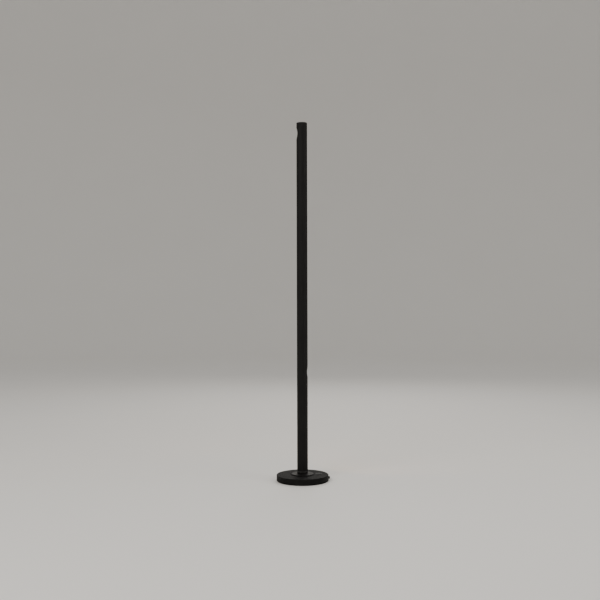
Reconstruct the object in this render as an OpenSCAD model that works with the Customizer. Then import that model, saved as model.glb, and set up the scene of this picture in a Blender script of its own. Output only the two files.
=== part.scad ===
// Outdoor floor lamp: a slim round column on a heavy disc. Three scooped-out spot
// lights wash the wall behind it, each in its own swivelling section of the column.
// The lamp is looked at from -Y. Its middle light faces +Y, away from the viewer.
// Sizes are in millimetres, and the floor is at z = 0.

/* [Base disc] */
// Diameter of the base disc
base_d = 218; // [208:1:260]
// Thickness of the steel disc
plate_h = 24; // [22:0.5:30]
// Rounding of the disc's upper edge
edge_round = 2; // [0.5:0.5:4]
// Chamfer of the disc's lower edge
edge_chamfer = 1; // [0.5:0.5:2]
// How far the rubber pad stands below the disc
pad_drop = 2; // [1:0.5:4]
// Width of the rubber pad
pad_w = 10; // [6:0.5:10]
// Depth of the groove that holds the pad
pad_seat = 1.5; // [1:0.5:2.5]
// Steel left between the pad's groove and the disc's edge
pad_margin = 3; // [2:0.5:4]
// Steel left above the wiring cavity
roof_t = 8; // [7:0.5:9]
// Solid rim outside the two ends of the wiring cavity
rim_w = 24; // [23:0.5:26]
// Width of the wiring cavity
cavity_w = 52; // [50:1:60]
// Corner radius of the wiring cavity
cavity_corner = 12; // [8:1:16]
// Thickness of the cover under the cavity
cover_t = 1.5; // [1:0.25:2]
// How far the cover reaches past the cavity
cover_lip = 7; // [6:0.5:8]

/* [Column foot] */
// Diameter of the flange round the column's foot
flange_d = 93; // [80:1:110]
// Thickness of the flange
flange_t = 3; // [2.5:0.5:5]
// Thickness of the gasket under the flange
gasket_t = 1; // [0.5:0.25:2]
// How far the gasket stays inside the flange's edge
gasket_inset = 1; // [0.5:0.5:3]
// Height of the fixed neck above the flange
neck_h = 10; // [8:1:20]
// Diameter of the screws that hold the flange from below
hub_screw_d = 5; // [4:1:6]

/* [Column] */
// Height of one section, a third of the lamp's whole height
section_h = 500; // [400:10:600]
// Outer diameter of the column
tube_d = 45; // [43:0.5:50]
// Wall of the column's tubes
tube_wall = 2.5; // [2:0.25:3]
// Thickness of the end cap's visible disc
cap_t = 3; // [2:0.5:5]
// Chamfer of the end cap's edge
cap_chamfer = 0.6; // [0.3:0.1:1]

/* [Swivel] */
// Length of the journal that each section turns on
journal_h = 36; // [34:1:46]
// Bore of the journals, for the wiring
hub_bore = 26; // [22:1:27]
// Length of a coupler's plug in the tube below it
plug_h = 10; // [9.5:0.5:11]
// Thickness of the thrust washer under each section
washer_t = 1; // [0.5:0.25:2]
// Radial running gap between journal and tube
journal_gap = 0.06; // [0.02:0.01:0.1]
// Thickness of the O-rings
oring_d = 2; // [1.5:0.25:2.5]
// Height of the O-ring above the journal's foot
oring_up = 10; // [8:1:14]
// Height of the stop groove above the journal's foot
stop_up = 26; // [22:1:28]
// Width of the stop groove
stop_groove_w = 5; // [4.5:0.25:7]
// Depth of the stop groove
stop_groove_depth = 2.5; // [2:0.25:3]
// Width of the stop block left in the groove
stop_block_w = 5; // [3:0.5:5]
// Diameter of the swivel screw's tip
swivel_screw_d = 4; // [3:0.25:4]

/* [Scoop and light] */
// Radius of the scoop's round floor
scoop_r = 34; // [31:0.5:38]
// Depth of the scoop, from the column's surface
scoop_depth = 17; // [15:0.5:18]
// Distance from a section's top down to the middle of its scoop
scoop_drop = 45; // [43:1:60]
// Wall of the lamp holder that lines the scoop
holder_wall = 3; // [2:0.5:4]
// Angle by which the light looks down
light_tilt = 30; // [22:1:34]
// Diameter of the front glass
glass_d = 23; // [21:0.5:24]
// Thickness of the front glass
glass_t = 2; // [1.5:0.25:3]
// Thickness of the ring that holds the glass
ring_t = 1.5; // [1:0.25:2]
// Visible width of the ring that holds the glass
ring_w = 2.5; // [2:0.25:3]
// Thickness of the glass seal
seal_t = 0.8; // [0.5:0.1:1.5]
// Diameter of the lens
lens_d = 18; // [16:0.5:18]
// Height of the lens
lens_h = 6; // [5:0.5:7]
// Thickness of the LED board
board_t = 1.6; // [1:0.2:2]
// Width of the LED chip
chip_w = 5; // [3:0.5:5]
// Diameter of the screws in the tubes
tube_screw_d = 3; // [2.5:0.5:3]

/* [Aim] */
// Direction of the lower light, in degrees anticlockwise from straight back
aim_lower = -45; // [-90:5:90]
// Direction of the middle light
aim_middle = 0; // [-90:5:90]
// Direction of the upper light
aim_upper = 45; // [-90:5:90]

/* [Foot switch] */
// Distance of the switch's axis from the disc's edge
switch_inset = 41; // [40:0.5:43]
// Diameter of the switch's bezel
bezel_d = 29; // [28:0.5:34]
// Height of the bezel above the disc
bezel_h = 1.5; // [1:0.25:2]
// Diameter of the threaded bushing under the bezel
bushing_d = 25; // [24:0.25:26]
// Diameter of the button
button_d = 20.6; // [18:0.2:20.8]
// Height of the button's top above the disc
button_rise = 4; // [3.75:0.25:6]
// Travel of the button
button_travel = 2; // [1:0.25:2]
// Radial running gap between button and bushing
button_gap = 0.05; // [0.02:0.01:0.1]

/* [Cable gland] */
// Height of the gland's axis above the floor
gland_z = 11; // [9.5:0.5:12]
// Outer diameter of the gland's dome nut
gland_d = 12; // [11:0.5:13]
// How far the dome nut stands out of the disc's edge
gland_out = 6.5; // [4:0.5:8]
// Diameter of the cord that the gland takes
cord_d = 6; // [5:0.25:6.5]

/* [Hidden] */
$fn = 96;
SECTIONS = ["lower", "middle", "upper"];
LOWER = 0;
MIDDLE = 1;
UPPER = 2;
SECTION_PARTS = ["tube", "lamp_holder", "led_board", "lens", "glass", "glass_seal",
                 "glass_ring", "tube_screws", "swivel_screw", "loom"];
COUPLER_PARTS = ["coupler", "washer", "oring"];
BASE_PARTS = ["base_plate", "base_pad", "bottom_cover", "cover_screws", "column_flange",
              "flange_gasket", "flange_screws", "led_driver", "terminal_block",
              "base_wiring", "switch_bushing", "switch_nut", "switch_body",
              "button_seal", "button_spring", "foot_button", "gland_body",
              "gland_nut", "gland_seal", "foot_washer", "foot_oring"];

// Colours
BLACK_COAT = "#1c1c1d";
BLACK_SATIN = "#262627";
BLACK_RUBBER = "#161616";
STEEL = "#8b8d90";
PALE_PLASTIC = "#d8d8d4";
WIRE_BLACK = "#202020";
BOARD_WHITE = "#e4e6e2";
LENS_CLEAR = "#dfe6ea";
GLASS_CLEAR = "#e8ecee";

// Cuts run this far past the faces that they open
over = 1;
// Gap between pieces that are screwed or pressed into one another
fit_gap = 0.1;
// Gap that keeps a wire or a spring clear of what it lies along
lay_gap = 0.3;
// Extra diameter of a screw's clearance hole
hole_play = 0.5;
// Small chamfer on turned edges
small_chamfer = 0.5;

// Heights of the base
base_top = pad_drop + plate_h;
roof_z = base_top - roof_t;
flange_z = base_top + gasket_t;
neck_z = flange_z + flange_t;
cavity_l = base_d - 2 * rim_w;
pad_outer_r = base_d / 2 - pad_margin;
cover_screw_d = 3;
cover_screw_l = 8;
cover_screw_head_h = 1.4;

// Radii of the column
tube_r = tube_d / 2;
tube_ri = tube_r - tube_wall;
journal_r = tube_ri - journal_gap;
hub_r = hub_bore / 2;
plug_r = tube_ri - fit_gap;

// Height of each section's seat, where its thrust washer lies
SEATS = [neck_z + neck_h, section_h, 2 * section_h];
lamp_h = 3 * section_h;
cap_z = lamp_h - cap_t;
cap_oring_z = cap_z - plug_h + oring_d;
TUBE_TOPS = [SEATS[MIDDLE], SEATS[UPPER], cap_z];
SCOOPS = [for (i = [LOWER:UPPER]) (i + 1) * section_h - scoop_drop];
AIMS = [aim_lower, aim_middle, aim_upper];

// Scoop: a cut by a horizontal cylinder whose axis is this far from the column's axis
scoop_axis_y = tube_r - scoop_depth + scoop_r;

// Light: depths below the point where the light's axis meets the scoop's floor
glass_depth = ring_t;
seal_depth = glass_depth + glass_t;
lens_depth = seal_depth + seal_t;
board_depth = lens_depth + lens_h;
pocket_depth = board_depth + board_t;
boss_heel_t = 3;
boss_wall = 2.5;
boss_depth = pocket_depth + boss_heel_t;
boss_r = glass_d / 2 + boss_wall;
chip_t = 0.8;
wire_hole_r = 1.7;

// Countersunk screws in the tubes
screw_sunk = 0.3;
tube_screw_l = 7;
top_screw_drop = 4.5;
TOP_SCREW_ANGLES = [-50, 50];
holder_screw_drop = 38;
holder_tab_below = 2;
holder_tab_w = 14;
holder_tab_t = 7;
holder_tab_h = 16;

// Wiring loom
loom_r = 2.5;
lead_r = 1.5;
loom_y = -(tube_ri - loom_r - lay_gap);
loom_sides = 8;
loom_bend_h = 50;
loom_bend_steps = 10;
loom_stub = 4;
loom_turn = 8;

// Foot switch
switch_x = base_d / 2 - switch_inset;
button_r = button_d / 2;
bushing_r = bushing_d / 2;
bushing_bore_r = button_r + button_gap;
nut_h = 3.5;
bushing_foot_z = roof_z - nut_h - small_chamfer;
lip_h = 2;
lip_w = 0.9;
lip_r = button_r + lip_w;
lip_z = bushing_foot_z + button_travel;
shoulder_z = lip_z + lip_h + button_gap;
seal_up = 1.5;
seal_foot_z = shoulder_z + seal_up;
button_seal_w = 1.1;
button_seal_h = 2;
button_dome = 1.4;
button_hollow_r = 6;
button_skin = 5;
stem_r = 2;
contact_h = 1.5;
switch_body_h = 9;
switch_body_r = bushing_r - small_chamfer;
spring_r = 4.4;
spring_wire_r = 0.4;
spring_turns = 5;

// Cable gland
edge_x = base_d / 2;
gland_seat = 6;
gland_collar_l = 3;
gland_spigot_l = 2;
gland_lip_t = 2;
gland_thread_step = 1;
gland_spigot_step = 1.4;
gland_thread_r = gland_d / 2 - gland_thread_step;
gland_spigot_r = gland_d / 2 - gland_spigot_step;
seal_bore_r = cord_d / 2 + fit_gap;
gland_seal_grip = 0.4;
gland_bore_r = seal_bore_r + gland_seal_grip;
collar_x = edge_x - gland_seat;

// Driver, terminal block and base wiring
hub_screw_ring_r = (hub_r + tube_r) / 2;
hub_screw_head_r = 0.85 * hub_screw_d;
hub_tap_ceiling = 1;
hub_tap_spare = 2;
driver_l = 50;
driver_w = 34;
driver_h = 12;
block_l = 12;
block_w = 24;
block_h = 9;
block_hole_l = 4;
block_screw_r = 2;
block_wire_z = roof_z - block_h / 2 - lead_r;
driver_ear_l = 4;
driver_ear_t = 2.5;
driver_ear_hole_d = 2.6;
hub_cable_bend_r = 12;
bench_gap = 2;
bench_x = hub_screw_ring_r + hub_screw_head_r + bench_gap;

// Shapes that more than one piece uses

// A ring with its foot at z = 0
module ring(outer_r, inner_r, h) {
    difference() {
        cylinder(r = outer_r, h = h);
        translate([0, 0, -over]) cylinder(r = inner_r, h = h + 2 * over);
    }
}

// A box of length l and width w with round corners, its foot at z = 0
module rounded_box(l, w, h, corner) {
    translate([-l / 2 + corner, -w / 2, 0]) cube([l - 2 * corner, w, h]);
    translate([-l / 2, -w / 2 + corner, 0]) cube([l, w - 2 * corner, h]);
    for (x = [-1, 1], y = [-1, 1])
        translate([x * (l / 2 - corner), y * (w / 2 - corner), 0])
            cylinder(r = corner, h = h);
}

// Places its child on the column's radius at an angle and height, +Z pointing outwards
module radial(angle, z) {
    rotate([0, 0, angle]) translate([0, 0, z]) rotate([-90, 0, 0]) children();
}

// Turns section i's pieces to where its light aims
module aimed(i) {
    rotate([0, 0, AIMS[i]]) children();
}

// Puts the child at section i's light, +Z looking out along the beam
module at_light(i) {
    translate([0, scoop_axis_y - scoop_r * cos(light_tilt),
               SCOOPS[i] + scoop_r * sin(light_tilt)])
        rotate([-90 - light_tilt, 0, 0]) children();
}

// The cylinder that cuts a scoop, or the back of its lining when grown
module scoop_cut(i, grow = 0) {
    translate([0, scoop_axis_y, SCOOPS[i]]) rotate([0, 90, 0])
        cylinder(r = scoop_r + grow, h = tube_d + 2 * over, center = true);
}

// A countersunk screw with its head's face at z = 0 and its tip below
module countersunk(d, l, grow = 0) {
    translate([0, 0, -d / 2]) cylinder(r1 = d / 2 + grow, r2 = d + grow, h = d / 2);
    translate([0, 0, -l]) cylinder(d = d + 2 * grow, h = l - d / 2 + grow);
    if (grow > 0) cylinder(r = d + grow, h = over + screw_sunk);
}

// A countersunk screw with its hexagon socket
module countersunk_screw(d, l) {
    difference() {
        countersunk(d, l);
        translate([0, 0, -0.4 * d]) cylinder(d = 0.75 * d, h = d, $fn = 6);
    }
}

// A cap screw with its head's seat at z = 0, head below and shank above
module cap_screw(d, head_r, l) {
    head_h = d;
    difference() {
        union() {
            translate([0, 0, -head_h]) cylinder(r = head_r, h = head_h);
            cylinder(d = d, h = l);
        }
        translate([0, 0, -head_h - over]) cylinder(d = 0.9 * d, h = over + 0.6 * d, $fn = 6);
    }
}

// An O-ring round the column's axis, whose outside lies just inside a tube
module oring(z) {
    section_r = oring_d / 2;
    translate([0, 0, z]) rotate_extrude()
        translate([tube_ri - fit_gap / 2 - section_r, 0]) circle(section_r, $fn = 32);
}

// The groove that an O-ring sits in
module oring_groove(z) {
    w = 1.3 * oring_d;
    translate([0, 0, z - w / 2])
        ring(tube_ri + over, tube_ri - fit_gap - oring_d, w);
}

// Eased step from 0 to 1 as x goes from a to b
function eased(x, a, b) =
    let (t = min(1, max(0, (x - a) / (b - a)))) t * t * (3 - 2 * t);

// Slope of the eased step
function eased_slope(x, a, b) =
    let (t = min(1, max(0, (x - a) / (b - a)))) 6 * t * (1 - t) / (b - a);

// A closed tube from a list of rings of points, each ring with n points that run
// anticlockwise seen from the next ring
module skin(points, n) {
    last = len(points) / n - 1;
    sides = [for (k = [0:last - 1]) for (j = [0:n - 1])
        let (a = k * n + j, b = k * n + (j + 1) % n) each
            [[a, a + n, b], [b, a + n, b + n]]];
    foot = [for (j = [0:n - 1]) j];
    head = [for (j = [0:n - 1]) last * n + n - 1 - j];
    polyhedron(points = points, faces = concat(sides, [foot, head]), convexity = 10);
}

// Base

module base_plate() {
    color(BLACK_COAT) difference() {
        translate([0, 0, pad_drop]) rotate_extrude() union() {
            square([edge_x - edge_round, plate_h]);
            translate([0, edge_chamfer])
                square([edge_x, plate_h - edge_round - edge_chamfer]);
            polygon([[0, 0], [edge_x - edge_chamfer, 0], [edge_x, edge_chamfer],
                     [0, edge_chamfer]]);
            translate([edge_x - edge_round, plate_h - edge_round]) circle(edge_round);
        }
        translate([0, 0, pad_drop - over])
            rounded_box(cavity_l, cavity_w, roof_z - pad_drop + over, cavity_corner);
        translate([0, 0, pad_drop - over])
            rounded_box(cavity_l + 2 * cover_lip, cavity_w + 2 * cover_lip,
                        cover_t + over, cavity_corner + cover_lip);
        translate([0, 0, pad_drop - over])
            ring(pad_outer_r + fit_gap, pad_outer_r - pad_w - fit_gap, pad_seat + over);
        translate([0, 0, roof_z - over]) cylinder(r = hub_r, h = roof_t + 2 * over);
        at_hub_screws() translate([0, 0, roof_z - over])
            cylinder(d = hub_screw_d + hole_play, h = roof_t + 2 * over);
        at_cover_screws() translate([0, 0, pad_drop])
            cylinder(d = cover_screw_d, h = cover_screw_l + over);
        translate([switch_x, 0, roof_z - over])
            cylinder(r = bushing_r + fit_gap, h = roof_t + 2 * over);
        at_gland(edge_x - rim_w - over)
            cylinder(r = gland_thread_r + fit_gap, h = rim_w + 2 * over);
        at_gland(edge_x - gland_seat)
            cylinder(r = gland_d / 2 + fit_gap, h = gland_seat + over);
    }
}

// Puts the child at each screw that holds the flange
module at_hub_screws() {
    for (a = [45:90:315])
        rotate([0, 0, a]) translate([hub_screw_ring_r, 0, 0]) children();
}

// Puts the child at each screw of the bottom cover, in the middle of the cover's lip
module at_cover_screws() {
    for (x = [-1, 1], y = [-1, 1])
        translate([x * cavity_l / 4, y * (cavity_w + cover_lip) / 2, 0]) children();
}

// Puts the child on the gland's axis at a given x, +Z pointing out of the disc
module at_gland(x) {
    translate([x, 0, gland_z]) rotate([0, 90, 0]) children();
}

module base_pad() {
    color(BLACK_RUBBER) ring(pad_outer_r, pad_outer_r - pad_w, pad_drop + pad_seat);
}

module bottom_cover() {
    color(STEEL) difference() {
        translate([0, 0, pad_drop])
            rounded_box(cavity_l + 2 * cover_lip - 4 * fit_gap,
                        cavity_w + 2 * cover_lip - 4 * fit_gap,
                        cover_t, cavity_corner + cover_lip);
        at_cover_screws() translate([0, 0, pad_drop - over])
            cylinder(d = cover_screw_d + hole_play, h = cover_t + 2 * over);
    }
}

module cover_screws() {
    socket_h = 0.8;
    color(STEEL) at_cover_screws() {
        translate([0, 0, pad_drop - cover_screw_head_h]) difference() {
            cylinder(d = 1.8 * cover_screw_d, h = cover_screw_head_h);
            translate([0, 0, -over])
                cylinder(d = 0.7 * cover_screw_d, h = over + socket_h, $fn = 6);
        }
        translate([0, 0, pad_drop])
            cylinder(d = cover_screw_d - fit_gap, h = cover_screw_l);
    }
}

module led_driver() {
    color(PALE_PLASTIC) translate([-bench_x - driver_l / 2, 0, roof_z]) mirror([0, 0, 1])
        difference() {
            union() {
                rounded_box(driver_l - 2 * driver_ear_l, driver_w, driver_h, 3);
                rounded_box(driver_l, driver_w / 2, driver_ear_t, 2);
            }
            for (x = [-1, 1])
                translate([x * (driver_l - driver_ear_l) / 2, 0, -over])
                    cylinder(d = driver_ear_hole_d, h = driver_ear_t + 2 * over);
        }
}

module terminal_block() {
    poles = 3;
    pitch = block_w / poles;
    color(PALE_PLASTIC) difference() {
        translate([bench_x, -block_w / 2, roof_z - block_h])
            cube([block_l, block_w, block_h]);
        for (k = [0:poles - 1]) translate([0, (k - (poles - 1) / 2) * pitch, 0]) {
            translate([bench_x + block_l / 2, 0, roof_z - block_h - over])
                cylinder(r = block_screw_r, h = block_hole_l + over);
            for (x = [bench_x - over, bench_x + block_l - block_hole_l])
                translate([x, 0, block_wire_z]) rotate([0, 90, 0])
                    cylinder(r = lead_r, h = block_hole_l + over);
        }
    }
}

// The loom from the driver up through the hub, and the lead from the block to the switch
module base_wiring() {
    loom_z = roof_z - driver_h / 2;
    journal_top = SEATS[LOWER] + journal_h;
    lead_x = bench_x + block_l - block_hole_l;
    color(WIRE_BLACK) {
        union() {
            translate([-bench_x, 0, loom_z]) rotate([0, 90, 0])
                cylinder(r = loom_r, h = bench_x - hub_cable_bend_r);
            translate([-hub_cable_bend_r, 0, loom_z + hub_cable_bend_r]) rotate([90, 0, 0])
                rotate([0, 0, -90]) rotate_extrude(angle = 90)
                    translate([hub_cable_bend_r, 0]) circle(loom_r);
            translate([0, 0, loom_z + hub_cable_bend_r])
                cylinder(r = loom_r, h = journal_top - loom_z - hub_cable_bend_r);
        }
        translate([lead_x, 0, block_wire_z]) rotate([0, 90, 0])
            cylinder(r = lead_r - fit_gap, h = switch_x - switch_body_r - lead_x);
    }
}

module column_flange() {
    color(BLACK_COAT) difference() {
        union() {
            translate([0, 0, flange_z]) cylinder(d = flange_d, h = flange_t - small_chamfer);
            translate([0, 0, neck_z - small_chamfer])
                cylinder(r1 = flange_d / 2, r2 = flange_d / 2 - small_chamfer,
                         h = small_chamfer);
            translate([0, 0, flange_z]) cylinder(r = tube_r, h = flange_t + neck_h);
            journal(SEATS[LOWER], 180);
        }
        translate([0, 0, flange_z - over])
            cylinder(r = hub_r, h = flange_t + neck_h + journal_h + 2 * over);
        at_hub_screws() translate([0, 0, flange_z - over])
            cylinder(d = hub_screw_d + fit_gap, h = flange_t + neck_h - hub_tap_ceiling + over);
    }
}

module flange_gasket() {
    color(BLACK_RUBBER) difference() {
        translate([0, 0, base_top]) ring(flange_d / 2 - gasket_inset, hub_r, gasket_t);
        at_hub_screws() translate([0, 0, base_top - over])
            cylinder(d = hub_screw_d + hole_play, h = gasket_t + 2 * over);
    }
}

module flange_screws() {
    tip_z = neck_z + neck_h - hub_tap_ceiling - hub_tap_spare;
    color(STEEL) at_hub_screws() translate([0, 0, roof_z])
        cap_screw(hub_screw_d, hub_screw_head_r, tip_z - roof_z);
}

// Foot switch

// Puts the child on the switch's axis, at height z
module at_switch(z) {
    translate([switch_x, 0, z]) children();
}

module switch_bushing() {
    color(BLACK_SATIN) difference() {
        union() {
            at_switch(bushing_foot_z) cylinder(r = bushing_r, h = base_top - bushing_foot_z);
            at_switch(base_top) cylinder(d = bezel_d, h = bezel_h - small_chamfer);
            at_switch(base_top + bezel_h - small_chamfer)
                cylinder(r1 = bezel_d / 2, r2 = bezel_d / 2 - small_chamfer,
                         h = small_chamfer);
        }
        at_switch(bushing_foot_z - over)
            cylinder(r = bushing_bore_r, h = base_top + bezel_h - bushing_foot_z + 2 * over);
        at_switch(bushing_foot_z - over)
            cylinder(r = lip_r + button_gap, h = shoulder_z - bushing_foot_z + over);
        at_switch(seal_foot_z) cylinder(r = bushing_bore_r + button_seal_w + fit_gap,
                                        h = button_seal_h);
    }
}

module switch_nut() {
    wall = 2.5;
    across_flats = bushing_d + 2 * wall;
    color(STEEL) difference() {
        at_switch(roof_z - nut_h) rotate([0, 0, 30])
            cylinder(d = across_flats / cos(30), h = nut_h, $fn = 6);
        at_switch(roof_z - nut_h - over) cylinder(r = bushing_r + fit_gap, h = nut_h + 2 * over);
    }
}

module switch_body() {
    color(BLACK_SATIN) {
        at_switch(bushing_foot_z - switch_body_h) cylinder(r = switch_body_r, h = switch_body_h);
        at_switch(bushing_foot_z - over) cylinder(r = stem_r, h = contact_h + over);
    }
}

module button_seal() {
    color(BLACK_RUBBER) at_switch(seal_foot_z)
        ring(bushing_bore_r + button_seal_w, bushing_bore_r, button_seal_h);
}

module foot_button() {
    top_z = base_top + button_rise;
    rim_z = top_z - button_dome;
    dome_r = (button_r * button_r + button_dome * button_dome) / (2 * button_dome);
    hollow_top = top_z - button_skin;
    color(BLACK_SATIN) {
        difference() {
            union() {
                at_switch(lip_z) cylinder(r = lip_r, h = lip_h);
                at_switch(lip_z) cylinder(r = button_r, h = rim_z - lip_z);
                intersection() {
                    at_switch(top_z - dome_r) sphere(dome_r);
                    at_switch(rim_z - over) cylinder(r = button_r, h = button_dome + 2 * over);
                }
            }
            at_switch(lip_z - over) cylinder(r = button_hollow_r, h = hollow_top - lip_z + over);
        }
        at_switch(lip_z + contact_h + fit_gap)
            cylinder(r = stem_r, h = hollow_top - lip_z - contact_h + fit_gap);
    }
}

// Return spring: one round wire wound on a helix, its ends laid flat on their seats
module button_spring() {
    n = 6;
    per_turn = 16;
    end_gap = 0.05;
    flat_turn = 0.5;
    steady = 0.2;
    seat_z = bushing_foot_z + spring_wire_r + end_gap;
    head_z = base_top + button_rise - button_skin - spring_wire_r - end_gap;
    steps = spring_turns * per_turn;
    points = [for (k = [0:steps])
        let (turn = k / per_turn,
             angle = 360 * turn,
             rise = eased(turn, flat_turn, spring_turns - flat_turn),
             z = seat_z + (head_z - seat_z)
                 * ((1 - steady) * rise + steady * turn / spring_turns))
        for (j = [0:n - 1])
            let (a = 360 * j / n, r = spring_r + spring_wire_r * cos(a))
            [r * cos(angle), r * sin(angle), z - spring_wire_r * sin(a)]];
    color(STEEL) at_switch(0) skin(points, n);
}

// Cable gland

module gland_body() {
    barrel_x = edge_x - rim_w;
    color(BLACK_SATIN) difference() {
        union() {
            at_gland(barrel_x) cylinder(r = gland_thread_r, h = rim_w - gland_seat);
            at_gland(collar_x) cylinder(d = gland_d, h = gland_collar_l);
            at_gland(collar_x) cylinder(r = gland_spigot_r, h = gland_collar_l + gland_spigot_l);
        }
        at_gland(barrel_x - over) cylinder(r = gland_bore_r, h = rim_w + 2 * over);
    }
}

// Dome nut with room for the seal behind its lip
module gland_nut() {
    bevel = 1.2;
    nut_x = collar_x + gland_collar_l;
    nut_l = edge_x + gland_out - nut_x;
    color(BLACK_SATIN) difference() {
        union() {
            at_gland(nut_x) cylinder(d = gland_d, h = nut_l - bevel);
            at_gland(nut_x + nut_l - bevel)
                cylinder(r1 = gland_d / 2, r2 = gland_d / 2 - bevel, h = bevel);
        }
        at_gland(nut_x - over)
            cylinder(r = gland_spigot_r + fit_gap, h = nut_l - gland_lip_t + over);
        at_gland(nut_x) cylinder(r = gland_bore_r, h = nut_l + over);
    }
}

// Rubber seal between the body's spigot and the nut's lip
module gland_seal() {
    seal_x = collar_x + gland_collar_l + gland_spigot_l;
    color(BLACK_RUBBER) at_gland(seal_x)
        ring(gland_spigot_r, seal_bore_r, edge_x + gland_out - gland_lip_t - seal_x);
}

// Swivels

// A journal from z upwards, with its O-ring groove, and a stop groove whose block
// lies at stop_angle
module journal(z, stop_angle) {
    tip = 1;
    floor_r = journal_r - stop_groove_depth;
    difference() {
        union() {
            translate([0, 0, z]) cylinder(r = journal_r, h = journal_h - tip);
            translate([0, 0, z + journal_h - tip])
                cylinder(r1 = journal_r, r2 = journal_r - tip, h = tip);
        }
        oring_groove(z + oring_up);
        difference() {
            translate([0, 0, z + stop_up - stop_groove_w / 2])
                ring(journal_r + over, floor_r, stop_groove_w);
            rotate([0, 0, stop_angle]) translate([0, journal_r, z + stop_up])
                cube([stop_block_w, journal_r, stop_groove_w + 2 * over], center = true);
        }
    }
}

// Coupler at the top of section i: a plug screwed into its tube, and a journal above
module coupler(i) {
    z = TUBE_TOPS[i];
    color(STEEL) aimed(i) difference() {
        union() {
            journal(z, 180);
            translate([0, 0, z - plug_h]) cylinder(r = plug_r, h = plug_h);
        }
        translate([0, 0, z - plug_h - over]) cylinder(r = hub_r, h = plug_h + journal_h + 2 * over);
        top_screw_taps(i);
    }
}

// Tapped holes in a plug at the top of section i
module top_screw_taps(i) {
    for (a = TOP_SCREW_ANGLES)
        radial(a, TUBE_TOPS[i] - top_screw_drop)
            cylinder(d = tube_screw_d + fit_gap, h = tube_d);
}

// Thrust washer between the seat at z and the tube above it
module washer(z) {
    color(PALE_PLASTIC) translate([0, 0, z])
        ring(tube_r - lay_gap, tube_ri + fit_gap, washer_t);
}

// Sections

// The column tube of section i, with its scoop and screw holes
module section_tube(i) {
    foot_z = SEATS[i] + washer_t;
    color(BLACK_COAT) aimed(i) difference() {
        translate([0, 0, foot_z]) ring(tube_r, tube_ri, TUBE_TOPS[i] - foot_z);
        scoop_cut(i);
        for (a = TOP_SCREW_ANGLES)
            radial(a, TUBE_TOPS[i] - top_screw_drop) translate([0, 0, tube_r - screw_sunk])
                countersunk(tube_screw_d, tube_r / 2, fit_gap);
        radial(0, SCOOPS[i] - holder_screw_drop) translate([0, 0, tube_r - screw_sunk])
            countersunk(tube_screw_d, tube_r / 2, fit_gap);
        radial(0, SEATS[i] + stop_up) cylinder(d = swivel_screw_d + 2 * fit_gap, h = tube_d);
    }
}

// Aluminium lining of the scoop: a wall that follows its floor, a tilted boss for the
// light, and a tab below for the screw
module lamp_holder(i) {
    tab_z = SCOOPS[i] - holder_screw_drop - tube_screw_d - holder_tab_below;
    color(BLACK_SATIN) aimed(i) difference() {
        intersection() {
            translate([0, 0, SCOOPS[i] - section_h / 2]) cylinder(r = plug_r, h = section_h);
            union() {
                scoop_cut(i, holder_wall);
                at_light(i) translate([0, 0, -boss_depth])
                    cylinder(r = boss_r, h = boss_depth);
                translate([-holder_tab_w / 2, plug_r - holder_tab_t, tab_z])
                    cube([holder_tab_w, holder_tab_t, holder_tab_h]);
            }
        }
        scoop_cut(i);
        at_light(i) {
            translate([0, 0, -lens_depth])
                cylinder(r = glass_d / 2 + fit_gap, h = lens_depth + scoop_r);
            translate([0, 0, -pocket_depth])
                cylinder(r = lens_d / 2 + fit_gap, h = pocket_depth);
            translate([0, 0, -boss_depth - over])
                cylinder(r = wire_hole_r, h = boss_heel_t + 2 * over);
        }
        radial(0, SCOOPS[i] - holder_screw_drop)
            cylinder(d = tube_screw_d + fit_gap, h = tube_d);
    }
}

// LED board with its chip
module led_board(i) {
    color(BOARD_WHITE) aimed(i) at_light(i) {
        translate([0, 0, -pocket_depth]) cylinder(d = lens_d, h = board_t);
        translate([-chip_w / 2, -chip_w / 2, -board_depth - over])
            cube([chip_w, chip_w, chip_t + over]);
    }
}

// Moulded lens: a cone that gathers the chip's light, with a flat face and a thin lip
module lens(i) {
    foot_out = 2.2;
    foot_r = chip_w / 2 + foot_out;
    foot_wall = 0.8;
    hollow_h = 2.2;
    face_t = 1;
    face_w = 0.8;
    color(LENS_CLEAR) aimed(i) at_light(i) translate([0, 0, -board_depth]) rotate_extrude()
        polygon([[foot_r - foot_wall, 0], [foot_r, 0],
                 [lens_d / 2 - face_w, lens_h - face_t], [lens_d / 2, lens_h - face_t],
                 [lens_d / 2, lens_h], [0, lens_h], [0, hollow_h],
                 [foot_r - foot_wall, hollow_h]]);
}

module glass_seal(i) {
    color(BLACK_RUBBER) aimed(i) at_light(i) translate([0, 0, -lens_depth])
        ring(glass_d / 2, glass_d / 2 - ring_w, seal_t);
}

module glass(i) {
    color(GLASS_CLEAR) aimed(i) at_light(i) translate([0, 0, -seal_depth])
        cylinder(d = glass_d, h = glass_t);
}

// Ring that screws in over the glass, with a bevelled mouth
module glass_ring(i) {
    color(BLACK_SATIN) aimed(i) at_light(i) translate([0, 0, -glass_depth]) difference() {
        cylinder(d = glass_d, h = ring_t);
        translate([0, 0, -over]) cylinder(r = glass_d / 2 - ring_w, h = ring_t + 2 * over);
        translate([0, 0, ring_t / 2])
            cylinder(r1 = glass_d / 2 - ring_w, r2 = glass_d / 2 - ring_w + ring_t, h = ring_t);
    }
}

// The countersunk screws of section i: one for the holder, two for the plug at its top
module tube_screws(i) {
    color(STEEL) aimed(i) {
        for (a = TOP_SCREW_ANGLES)
            radial(a, TUBE_TOPS[i] - top_screw_drop) translate([0, 0, tube_r - screw_sunk])
                countersunk_screw(tube_screw_d, tube_screw_l);
        radial(0, SCOOPS[i] - holder_screw_drop) translate([0, 0, tube_r - screw_sunk])
            countersunk_screw(tube_screw_d, tube_screw_l);
    }
}

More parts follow.
